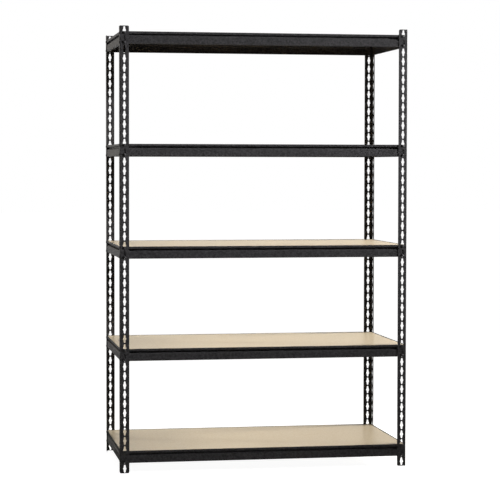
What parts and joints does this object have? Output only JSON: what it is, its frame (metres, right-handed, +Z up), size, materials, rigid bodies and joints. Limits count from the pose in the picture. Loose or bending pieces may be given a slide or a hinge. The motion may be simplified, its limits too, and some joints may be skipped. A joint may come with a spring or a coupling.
{
  "type": "boltless steel shelving unit",
  "caption": "Free-standing open storage rack: slotted angle posts, riveted roll-formed beams that hook into keyhole slots, and loose particle board decks that lift out.",
  "frame": {"origin": "on the floor, at the centre of the unit's footprint", "axes": "+Z up; -Y is the long front; +X to the right as seen from the front"},
  "size_m": [1.2086, 0.615, 1.8288],
  "materials": {
    "post_steel": "dark grey powder coat, fine texture",
    "beam_steel": "dark grey powder coat, fine texture",
    "rivet_steel": "dark grey powder coat, smooth",
    "particle_board": "bare particle board, sanded"
  },
  "bodies": {
    "frame": {"post_front_left_lower": "post_steel", "post_front_left_upper": "post_steel", "post_front_right_lower": "post_steel", "post_front_right_upper": "post_steel", "post_rear_right_lower": "post_steel", "post_rear_right_upper": "post_steel", "post_rear_left_lower": "post_steel", "post_rear_left_upper": "post_steel", "beam_front_level_1": "beam_steel", "beam_rear_level_1": "beam_steel", "beam_left_level_1": "beam_steel", "beam_right_level_1": "beam_steel", "beam_front_level_2": "beam_steel", "beam_rear_level_2": "beam_steel", "beam_left_level_2": "beam_steel", "beam_right_level_2": "beam_steel", "beam_front_level_3": "beam_steel", "beam_rear_level_3": "beam_steel", "beam_left_level_3": "beam_steel", "beam_right_level_3": "beam_steel", "beam_front_level_4": "beam_steel", "beam_rear_level_4": "beam_steel", "beam_left_level_4": "beam_steel", "beam_right_level_4": "beam_steel", "beam_front_level_5": "beam_steel", "beam_rear_level_5": "beam_steel", "beam_left_level_5": "beam_steel", "beam_right_level_5": "beam_steel", "rivets_long_level_1": "rivet_steel", "rivets_short_level_1": "rivet_steel", "rivets_long_level_2": "rivet_steel", "rivets_short_level_2": "rivet_steel", "rivets_long_level_3": "rivet_steel", "rivets_short_level_3": "rivet_steel", "rivets_long_level_4": "rivet_steel", "rivets_short_level_4": "rivet_steel", "rivets_long_level_5": "rivet_steel", "rivets_short_level_5": "rivet_steel"},
    "board_1": {"board_level_1": "particle_board"},
    "board_2": {"board_level_2": "particle_board"},
    "board_3": {"board_level_3": "particle_board"},
    "board_4": {"board_level_4": "particle_board"},
    "board_5": {"board_level_5": "particle_board"}
  },
  "joints": [
    {"name": "board_level_1_lift", "type": "slide", "parent": "frame", "child": "board_1", "axis": [0, 0, 1], "range_m": [0, 0.368]},
    {"name": "board_level_2_lift", "type": "slide", "parent": "frame", "child": "board_2", "axis": [0, 0, 1], "range_m": [0, 0.368]},
    {"name": "board_level_3_lift", "type": "slide", "parent": "frame", "child": "board_3", "axis": [0, 0, 1], "range_m": [0, 0.368]},
    {"name": "board_level_4_lift", "type": "slide", "parent": "frame", "child": "board_4", "axis": [0, 0, 1], "range_m": [0, 0.406]},
    {"name": "board_level_5_lift", "type": "slide", "parent": "frame", "child": "board_5", "axis": [0, 0, 1], "range_m": [0, 0.15]}
  ]
}
